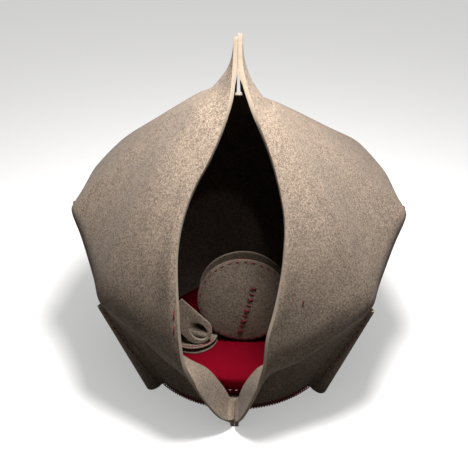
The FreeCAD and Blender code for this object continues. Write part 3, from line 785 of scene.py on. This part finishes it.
def puffed(piece, voxel, pressure, cap, rounds):
    # Remeshes a plain cushion shape and fills it with air as cloth, held near its first shape
    modify(piece, "REMESH", mode="VOXEL", voxel_size=voxel)
    modify(piece, "SMOOTH", factor=0.6, iterations=rounds)
    rest = np.array([v.co for v in piece.data.vertices])
    only(piece)
    cloth = piece.modifiers.new("Cloth", "CLOTH")
    cloth.settings.use_pressure = True
    cloth.settings.uniform_pressure_force = pressure
    cloth.settings.effector_weights.gravity = 0
    cloth.settings.quality = 4
    cloth.collision_settings.use_collision = False
    for step in range(1, 21):
        bpy.context.scene.frame_set(step)
    bpy.ops.object.modifier_apply(modifier=cloth.name)
    bpy.context.scene.frame_set(1)
    blown = np.array([v.co for v in piece.data.vertices])
    move = blown - rest
    size = np.linalg.norm(move, axis=1)[:, None]
    move = move * (cap * np.tanh(size / cap) / np.maximum(size, 1e-9))
    piece.data.vertices.foreach_set("co", (rest + move).ravel())
    piece.data.update()


def felt_round(body, label, radius, rise, matrix, wave, phase):
    # A round of felt with a crowned middle and a slightly uneven edge
    rings, spokes = 18, 96
    points, faces = [(0, 0, rise(0.0))], []
    for k in range(1, rings + 1):
        for s in range(spokes):
            a = 2 * math.pi * s / spokes
            r = radius * (k / rings) * (1 + 0.004 * math.sin(3 * a + phase) * (k / rings))
            dip = wave * (k / rings) ** 4 * math.sin(5 * a + phase)
            points.append((*polar(r, a), rise(r) + dip))
    for s in range(spokes):
        faces.append((0, 1 + s, 1 + (s + 1) % spokes))
    for k in range(rings - 1):
        for s in range(spokes):
            a, b = 1 + k * spokes, 1 + (k + 1) * spokes
            t = (s + 1) % spokes
            faces.append((a + s, b + s, b + t, a + t))
    piece = mesh_piece(f"{body}_{label}_round", points, faces)
    felted(piece, ROUND_FELT)
    modify(piece, "BEVEL", width=ROUND_FELT * 0.16, segments=2, angle_limit=math.radians(50))
    place(piece, matrix)
    smooth(piece, 40)
    settle(piece, "cushion_felt", FELTS, f"{body}_{label}_felt")
    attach(piece, body)
    return piece


def wool_core(body, node, slot, form, air, limits, matrix=Matrix()):
    # A puffed round core that stays between the two heights that limits gives for a radius
    core = drum(f"{body}_wool", *form)
    puffed(core, *air)
    for vertex in core.data.vertices:
        low, high = limits(math.hypot(vertex.co.x, vertex.co.y))
        vertex.co.z = min(max(vertex.co.z, low), high)
    place(core, matrix)
    smooth(core, 60)
    settle(core, slot, ["crimson wool"], node)
    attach(core, body)
    return core


class PodShellSettings(bpy.types.PropertyGroup):
    felt: FloatProperty(name="Felt thickness", description="Thickness of the shell felt",
                        default=0.011, min=0.004, max=0.02, unit="LENGTH")
    base_radius: FloatProperty(name="Base radius",
                               description="Outer radius of the sewn bottom edge",
                               default=0.320, min=0.25, max=0.4, unit="LENGTH")
    yarn_radius: FloatProperty(name="Yarn radius", description="Radius of the sewing yarn",
                               default=0.0015, min=0.0005, max=0.003, unit="LENGTH")
    whip_pitch: FloatProperty(name="Whip stitch pitch",
                              description="Distance between base stitches",
                              default=0.009, min=0.005, max=0.03, unit="LENGTH")
    dart_stitches: IntProperty(name="Dart stitches", description="Running stitches down each dart",
                               default=13, min=4, max=30)


class PodColours(bpy.types.PropertyGroup):
    felt: FloatVectorProperty(name="Felt", description="Main colour of the heathered felt",
                              subtype="COLOR", default=(0.140, 0.107, 0.081), min=0, max=1)
    cut_edge: FloatVectorProperty(name="Cut edge", description="Colour of the cut felt edges",
                                  subtype="COLOR", default=(0.21, 0.168, 0.126), min=0, max=1)
    yarn: FloatVectorProperty(name="Yarn", description="Colour of the sewing yarn",
                              subtype="COLOR", default=(0.135, 0.0022, 0.011), min=0, max=1)
    thread: FloatVectorProperty(name="Pad thread", description="Colour of the stitches on the pad",
                                subtype="COLOR", default=(0.26, 0.22, 0.21), min=0, max=1)
    pad: FloatVectorProperty(name="Pad", description="Colour of the seat pad and cushion cores",
                             subtype="COLOR", default=(0.102, 0.0006, 0.0052), min=0, max=1)


class PodStudio(bpy.types.PropertyGroup):
    lens: FloatProperty(name="Lens", description="Focal length of the camera in millimetres",
                        default=58.796, min=20, max=120)
    key_power: FloatProperty(name="Key light", description="Power of the soft light overhead",
                             default=104.0, min=0, max=500, unit="POWER")
    fill: FloatProperty(name="Fill", description="Strength of the light from all round",
                        default=0.15, min=0, max=3)


def build_half_shell(hand):
    side = SIDES[hand]
    piece = half_surface(hand)
    modify(piece, "SUBSURF", levels=1, render_levels=1, boundary_smooth="PRESERVE_CORNERS")
    outer = len(piece.data.vertices)
    slants = edge_slants(piece)
    seam = vertices_where(piece, at_back_seam)
    felted(piece, bpy.context.scene.pod_shell.felt, use_even_offset=True, use_quality_normals=True)
    vertices = piece.data.vertices
    for index, slant in slants.items():
        vertices[outer + index].co += slant
    for vertex in vertices:
        vertex.co.z = max(vertex.co.z, 0.0)
        vertex.co.x = side * max(side * vertex.co.x, 0.0002)
        if vertex.index >= outer:
            # The two tips lean against each other, and so do the two toes
            close = (vertex.co.z - TIP_CLOSING) / TIP_CLOSED
            if vertex.co.y < -0.3 and abs(vertex.co.x) < 0.02:
                close = (TOE_CLOSING - vertex.co.z) / 0.02
            vertex.co.x += (side * CLOSE_GAP - vertex.co.x) * min(1, max(0, close))
    for index in seam:
        vertices[outer + index].co.x = -side * CLOSE_GAP
    modify(piece, "BEVEL", width=EDGE_ROUND, segments=2, angle_limit=math.radians(60))
    smooth(piece, 50)
    nodes = [f"{hand}_{part}" for part in (
        "flap", "front_panel", "side_panel", "back_panel", "lower_front_wall", "lower_side_wall",
        "lower_back_wall")]
    settle(piece, "shell_felt", FELTS, *nodes)
    bend_with_flap(piece)


class POD_OT_shell(bpy.types.Operator):
    """Builds the two felt half shells"""
    bl_idname = "pod.shell"
    bl_label = "Half shells"

    def execute(self, context):
        for hand in SIDES:
            build_half_shell(hand)
        return {"FINISHED"}


def foot_net(base, top, out, across):
    rows = []
    for j in range(FOOT_ROWS + 1):
        # The fold is deepest and widest at the floor, and starts just inside the wall
        share = 1 - j / FOOT_ROWS
        centre = base + (top - base) * (0.95 * j / FOOT_ROWS)
        half = 0.010 + 0.008 * share
        nose = 0.010 + 0.050 * share - half
        sides = [-0.006 + (nose + 0.006) * k / 6 for k in range(6)]
        path = [(x, -half) for x in sides]
        for k in range(FOOT_ARC + 1):
            x, y = polar(half, math.pi * k / FOOT_ARC - math.pi / 2)
            path.append((nose + x, y))
        path += [(x, half) for x in reversed(sides)]
        # The two sides of the fold draw together at the sewn line
        row = []
        for x, y in path:
            pinch = 1 - 0.35 * math.exp(-((x - 0.008) / 0.012) ** 2)
            row.append(centre + out * x + across * (y * pinch))
        rows.append(row)
    return np.array(rows)


def build_foot(hand, end, azimuth, top):
    side = SIDES[hand]
    settings = bpy.context.scene.pod_shell
    base = floor_point(azimuth, settings.base_radius, 0, side)
    out = floor_point(azimuth, 1, 0, side)
    across = np.array([-out[1], out[0], 0])
    top = np.array(top) * (side, 1, 1)
    net = foot_net(base, top, out, across)
    piece = mesh_piece(f"{hand}_{end}_foot_fold", net.reshape(-1, 3), net_faces(*net.shape[:2]))
    felted(piece, FOOT_FELT)
    for vertex in piece.data.vertices:
        vertex.co.z = max(vertex.co.z, 0.0)
    modify(piece, "BEVEL", width=FOOT_ROUND, segments=2, angle_limit=math.radians(60))
    smooth(piece, 50)
    settle(piece, "shell_felt", FELTS, f"{hand}_{end}_foot")
    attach(piece, "shell")
    tree = surface_tree(piece)
    paths = []
    for face in (-1, 1):
        for k in range(settings.dart_stitches):
            ends = []
            for shift in (-0.016, 0.016):
                v = (k + 0.5) / settings.dart_stitches * 0.9 + shift
                ends.append(base + (top - base) * v + out * 0.009 + across * (face * 0.03))
            paths.append(sewn(tree, *ends, settings.yarn_radius))
    red_stitches(f"{hand}_{end}_dart_yarn", paths, settings.yarn_radius,
                 f"{hand}_{end}_dart_stitches", "shell")


class POD_OT_feet(bpy.types.Operator):
    """Builds the four folded feet and their running stitches"""
    bl_idname = "pod.feet"
    bl_label = "Feet"

    def execute(self, context):
        for hand in SIDES:
            build_foot(hand, "front", FRONT_DART, DART_TOP)
            build_foot(hand, "rear", REAR_DART, REAR_DART_TOP)
        return {"FINISHED"}


def base_stitches(hand, tree, rng):
    settings = bpy.context.scene.pod_shell
    side, radius, ring = SIDES[hand], settings.yarn_radius, settings.base_radius
    step = math.degrees(settings.whip_pitch / ring)
    paths = []
    azimuth = 4.0
    while azimuth < 178.5:
        if all(abs(azimuth + step / 4 - foot) > 3.4 for foot in (FRONT_DART, REAR_DART)):
            lean = step * rng.uniform(0.4, 0.6)
            low = floor_point(azimuth, ring + 0.0045, radius, side)
            high = floor_point(azimuth + lean, ring + 0.003, rng.uniform(0.0155, 0.0175), side)
            high = tree.find_nearest(Vector(high))[0]
            out = floor_point(azimuth, 1, -0.3, side)
            paths.append(stitch_path(low, high, out, radius * 1.4, 1.6))
        azimuth += step
    red_stitches(f"{hand}_base_yarn", paths, radius * 1.4, f"{hand}_base_stitches", "shell")


class POD_OT_stitches(bpy.types.Operator):
    """Sews the base edge, the back seam and the single stitches"""
    bl_idname = "pod.stitches"
    bl_label = "Shell stitches"

    def execute(self, context):
        radius = context.scene.pod_shell.yarn_radius
        trees = {hand: surface_tree(bpy.data.objects[f"{hand}_half_shell"]) for hand in SIDES}
        rng = random.Random(5)
        for hand in SIDES:
            base_stitches(hand, trees[hand], rng)
        paths = []
        for k in range(14):
            z = 0.06 + 0.04 * k
            ends = [trees[hand].find_nearest(Vector((side * 0.006, 0.52, z)))[0]
                    for hand, side in SIDES.items()]
            paths.append(stitch_path(*ends, (0, 1, 0), radius))
        red_stitches("back_seam_yarn", paths, radius, "back_seam_stitches", "shell")
        for hand, side in SIDES.items():
            paths = [sewn(trees[hand], a, b, radius * 1.3, 1.4) for a, b in FLAP_DASHES[hand]]
            piece = red_stitches(f"{hand}_flap_yarn", paths, radius * 1.3, f"{hand}_flap_stitches")
            bend_with_flap(piece)
            paths = [sewn(trees[hand], (side * 0.545, 0.014, 0.574), (side * 0.539, 0.024, 0.580),
                          radius, 1.2)]
            red_stitches(f"{hand}_corner_yarn", paths, radius, f"{hand}_corner_stitch", "shell")
        return {"FINISHED"}


class POD_OT_seat(bpy.types.Operator):
    """Finishes the base disc and makes the soft seat pad"""
    bl_idname = "pod.seat"
    bl_label = "Base and seat pad"

    def execute(self, context):
        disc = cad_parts["base_disc"]
        disc.data.materials.clear()
        disc.data.materials.append(finish_named("disc felt"))
        pad = wool_core("seat_pad", "seat_pad", "pad_fabric",
                        (96, PAD_RADIUS, PAD_DEPTH, PAD_MIDDLE, 0.014, 4), (0.006, 3.0, 0.007, 6),
                        lambda r: (PAD_BOTTOM, PAD_TOP))
        tree = surface_tree(pad)
        paths = [sewn(tree, (x - 0.005, -0.33, 0.041), (x + 0.005, -0.33, 0.042), 0.0013)
                 for x in (-0.021, 0.003)]
        piece = yarn("seat_pad_thread", paths, 0.0013)
        settle(piece, "pad_thread", ["grey thread"], "seat_pad_stitches")
        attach(piece, "seat_pad")
        return {"FINISHED"}


def crown_height(r):
    # The faces of the back cushion are parts of a ball
    ball = (CUSHION_RADIUS**2 + CUSHION_CROWN**2) / (2 * CUSHION_CROWN)
    return CUSHION_CROWN - ball + math.sqrt(ball * ball - min(r, CUSHION_RADIUS) ** 2)


def on_front(x, y):
    height = CUSHION_FACE + crown_height(math.hypot(x, y)) + 0.002
    return CUSHION_SPOT @ Vector((x, y, height))


def cross_paths(tree, radius):
    # Crosses and bars in turn; the upper strand of a cross lies over the lower one
    start, end = Vector((-0.008, -0.112)), Vector((0.034, 0.052))
    along = (end - start) / (CUSHION_MARKS - 1)
    unit = along.normalized()
    across = Vector((-unit.y, unit.x))
    paths = []
    for k in range(CUSHION_MARKS):
        middle = start + along * k
        for slant, lift in [(0.0, 1.1)] if k % 2 else [(0.006, 1.1), (-0.006, 1.9)]:
            reach = across * 0.011 + unit * slant
            ends = on_front(*(middle - reach)), on_front(*(middle + reach))
            paths.append(sewn(tree, *ends, radius, lift))
    return paths


class POD_OT_back_cushion(bpy.types.Operator):
    """Makes the round back cushion with its two felts, core and stitches"""
    bl_idname = "pod.back_cushion"
    bl_label = "Back cushion"

    def execute(self, context):
        def limits(r):
            height = CUSHION_CORE + crown_height(r)
            return -height, height

        wool_core("back_cushion", "back_cushion_core", "core_fabric",
                  (96, 0.139, 0.048, 0, 0.010, 3), (0.005, 4.0, 0.011, 4), limits, CUSHION_SPOT)
        flip = CUSHION_SPOT @ Matrix.Rotation(math.pi, 4, "X")
        front, _ = [felt_round("back_cushion", label, CUSHION_RADIUS,
                               lambda r: CUSHION_FACE + crown_height(r), matrix, 0.0012, phase)
                    for label, matrix, phase in (("front", CUSHION_SPOT, 0.4), ("rear", flip, 2.1))]
        tree = surface_tree(front)
        radius = context.scene.pod_shell.yarn_radius
        paths = []
        for k in range(CUSHION_DASHES):
            a = 2 * math.pi * k / CUSHION_DASHES
            ends = [on_front(*polar(CUSHION_RADIUS - 0.009, t)) for t in (a, a + 0.085)]
            paths.append(sewn(tree, *ends, radius, 1.1))
        red_stitches("back_cushion_edge_yarn", paths, radius, "back_cushion_edge_stitches",
                     "back_cushion")
        red_stitches("back_cushion_cross_yarn", cross_paths(tree, radius), radius,
                     "back_cushion_cross_stitches", "back_cushion")
        return {"FINISHED"}


def build_hand_loop():
    half, reach, (hole_l, hole_w) = LOOP_HALF, LOOP_REACH, LOOP_HOLE
    curve = bpy.data.curves.new("hand_loop_line", "CURVE")
    curve.dimensions = "2D"
    curve.fill_mode = "BOTH"
    curve.extrude = bpy.context.scene.pod_shell.felt / 2 - LOOP_ROUND
    curve.bevel_depth = LOOP_ROUND
    curve.bevel_resolution = 2
    outer = [polar(half, a) for a in np.linspace(math.pi / 2, 3 * math.pi / 2, 41)]
    outer += [(reach, -half * 0.96), (reach, half * 0.96)]
    hole = [(hole_l * math.cos(a), hole_w * math.sin(a))
            for a in np.linspace(0, 2 * math.pi, 57)[:-1]]
    for line, inset in ((outer, LOOP_ROUND), (hole, -LOOP_ROUND)):
        run = curve.splines.new("POLY")
        run.points.add(len(line) - 1)
        for point, (x, y) in zip(run.points, line):
            scale = 1 - inset / math.hypot(x, y)
            point.co = (x * scale, y * scale, 0, 1)
        run.use_cyclic_u = True
    loop = bpy.data.objects.new("hand_loop_felt", curve)
    bpy.context.scene.collection.objects.link(loop)
    only(loop)
    bpy.ops.object.convert(target="MESH")
    loop = bpy.context.active_object
    work = bmesh.new()
    work.from_mesh(loop.data)
    bmesh.ops.remove_doubles(work, verts=work.verts, dist=0.00001)
    bmesh.ops.recalc_face_normals(work, faces=work.faces)
    for face in work.faces:
        face.material_index = 0 if abs(face.normal.z) > 0.9 else 1
    work.to_mesh(loop.data)
    work.free()
    facing = Vector((0.1, -0.96, 0.26)).normalized()
    rising = Vector((-0.7, 0.05, 0.71))
    rising = (rising - facing * rising.dot(facing)).normalized()
    turn = Matrix((rising, facing.cross(rising), facing)).transposed().to_4x4()
    place(loop, Matrix.Translation(LOOP_CENTRE) @ turn)
    smooth(loop, 40)
    settle(loop, "cushion_felt", FELTS, "hand_loop")
    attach(loop, "side_cushion")


class POD_OT_side_cushion(bpy.types.Operator):
    """Makes the flat side cushion and its hand loop"""
    bl_idname = "pod.side_cushion"
    bl_label = "Side cushion and hand loop"

    def execute(self, context):
        radius = context.scene.pod_shell.yarn_radius
        _, top = [felt_round("side_cushion", label, MAT_RADIUS, lambda r: 0.0,
                             MAT_SPOT @ Matrix.Translation((0, 0, height)), 0.0006, phase)
                  for label, height, phase in (("bottom", 0.006, 0.0), ("top", 0.0262, 1.2))]
        wool_core("side_cushion", "side_cushion_core", "core_fabric",
                  (72, 0.076, 0.013, 0, 0.005, 3), (0.004, 3.0, 0.004, 3),
                  lambda r: (-MAT_CORE, MAT_CORE), MAT_SPOT @ Matrix.Translation((0, 0, 0.0132)))
        tree = surface_tree(top)
        paths = []
        for k in range(MAT_DASHES):
            a = math.radians(200 + 135 * k / MAT_DASHES)
            ends = [MAT_SPOT @ Vector((*polar(MAT_SEWN, t), 0.03)) for t in (a, a + 0.13)]
            paths.append(sewn(tree, *ends, radius))
        red_stitches("side_cushion_yarn", paths, radius, "side_cushion_stitches", "side_cushion")
        build_hand_loop()
        return {"FINISHED"}


def studio_item(name, data, location, turn):
    item = bpy.data.objects.new(name, data)
    bpy.context.scene.collection.objects.link(item)
    item.location = location
    item.rotation_euler = turn
    return item


def lamp(name, kind, power, location, size, aim):
    light = bpy.data.lights.new(name, kind)
    light.energy = power
    if kind == "AREA":
        light.shape = "DISK"
        light.size = size
    else:
        light.angle = size
    way = Vector(aim) - Vector(location)
    studio_item(name, light, location, way.to_track_quat("-Z", "Y").to_euler())


def floor_finish():
    finish = Finish("pale_floor", 0.9)
    finish.shader.inputs["Base Color"].default_value = (0.92, 0.91, 0.90, 1)
    # The camera sees a white floor with the chair's shadow, and the chair a greyer one
    rays = finish.node("ShaderNodeLightPath", {}, {}, "Is Camera Ray")
    path = rays.socket.node
    for name in ("Is Glossy Ray", "Is Transmission Ray"):
        rays = rays + Signal(finish, path.outputs[name])
    glow = finish.node("ShaderNodeEmission", {}, {"Strength": 1.0})
    grey = finish.node("ShaderNodeBsdfDiffuse", {}, {"Color": (0.16, 0.155, 0.15, 1)})
    white = Signal(finish, finish.shader.outputs[0])
    seen = finish.node("ShaderNodeMixShader", {}, {0: 0.36, 1: white, 2: glow})
    both = finish.node("ShaderNodeMixShader", {}, {0: rays.clamped(), 1: grey, 2: seen})
    output = finish.tree.nodes["Material Output"]
    finish.tree.links.new(both.socket, output.inputs["Surface"])
    return finish.material


class POD_OT_stage(bpy.types.Operator):
    """Sets up the floor, the lights and the camera"""
    bl_idname = "pod.stage"
    bl_label = "Studio"

    def execute(self, context):
        studio = context.scene.pod_studio
        bpy.ops.object.select_all(action="DESELECT")
        bpy.ops.mesh.primitive_plane_add(size=40, location=(0, 0, -0.0004))
        floor = context.active_object
        floor.name = "studio_floor"
        floor.data.materials.append(floor_finish())

        world = bpy.data.worlds.new("studio_world")
        context.scene.world = world
        world.use_nodes = True
        background = world.node_tree.nodes["Background"]
        background.inputs[0].default_value = (1.0, 0.99, 0.975, 1)
        background.inputs[1].default_value = studio.fill

        lamp("overhead_softbox", "AREA", studio.key_power, (0.14, -0.36, 2.15), 0.6,
             (0.03, -0.1, 0.3))
        lamp("wide_sky", "SUN", 0.85, (0.1, -0.9, 4), math.radians(60), (0, 0, 0))

        view = bpy.data.cameras.new("photo_view")
        view.lens = studio.lens
        view.sensor_width = 36
        turns = [math.radians(a) for a in (90 - CAMERA_DOWN, 0, CAMERA_TURN)]
        context.scene.camera = studio_item("photo_view", view, CAMERA_PLACE, Euler(turns, "XYZ"))
        context.scene.view_settings.view_transform = "Standard"
        return {"FINISHED"}


class POD_PT_panel(bpy.types.Panel):
    """Lists the steps that build the pod chair"""
    bl_label = "Pod chair"
    bl_idname = "POD_PT_panel"
    bl_space_type = "VIEW_3D"
    bl_region_type = "UI"
    bl_category = "Pod chair"

    def draw(self, context):
        column = self.layout.column()
        for step in STEPS_IN_ORDER:
            column.operator(step.bl_idname)
        for group in (context.scene.pod_shell, context.scene.pod_colours, context.scene.pod_studio):
            for name in group.bl_rna.properties.keys():
                if name not in ("rna_type", "name"):
                    column.prop(group, name)


STEPS_IN_ORDER = [POD_OT_shell, POD_OT_feet, POD_OT_stitches, POD_OT_seat, POD_OT_back_cushion,
                  POD_OT_side_cushion, POD_OT_stage]
GROUPS = [PodShellSettings, PodColours, PodStudio]


def register():
    for item in GROUPS + STEPS_IN_ORDER + [POD_PT_panel]:
        bpy.utils.register_class(item)
    bpy.types.Scene.pod_shell = bpy.props.PointerProperty(type=PodShellSettings)
    bpy.types.Scene.pod_colours = bpy.props.PointerProperty(type=PodColours)
    bpy.types.Scene.pod_studio = bpy.props.PointerProperty(type=PodStudio)


def unregister():
    for name in ("pod_shell", "pod_colours", "pod_studio"):
        delattr(bpy.types.Scene, name)
    for item in reversed(GROUPS + STEPS_IN_ORDER + [POD_PT_panel]):
        bpy.utils.unregister_class(item)


def main():
    register()
    for name in ("shell", "feet", "stitches", "seat", "back_cushion", "side_cushion", "stage"):
        getattr(bpy.ops.pod, name)()


if __name__ == "__main__":
    main()
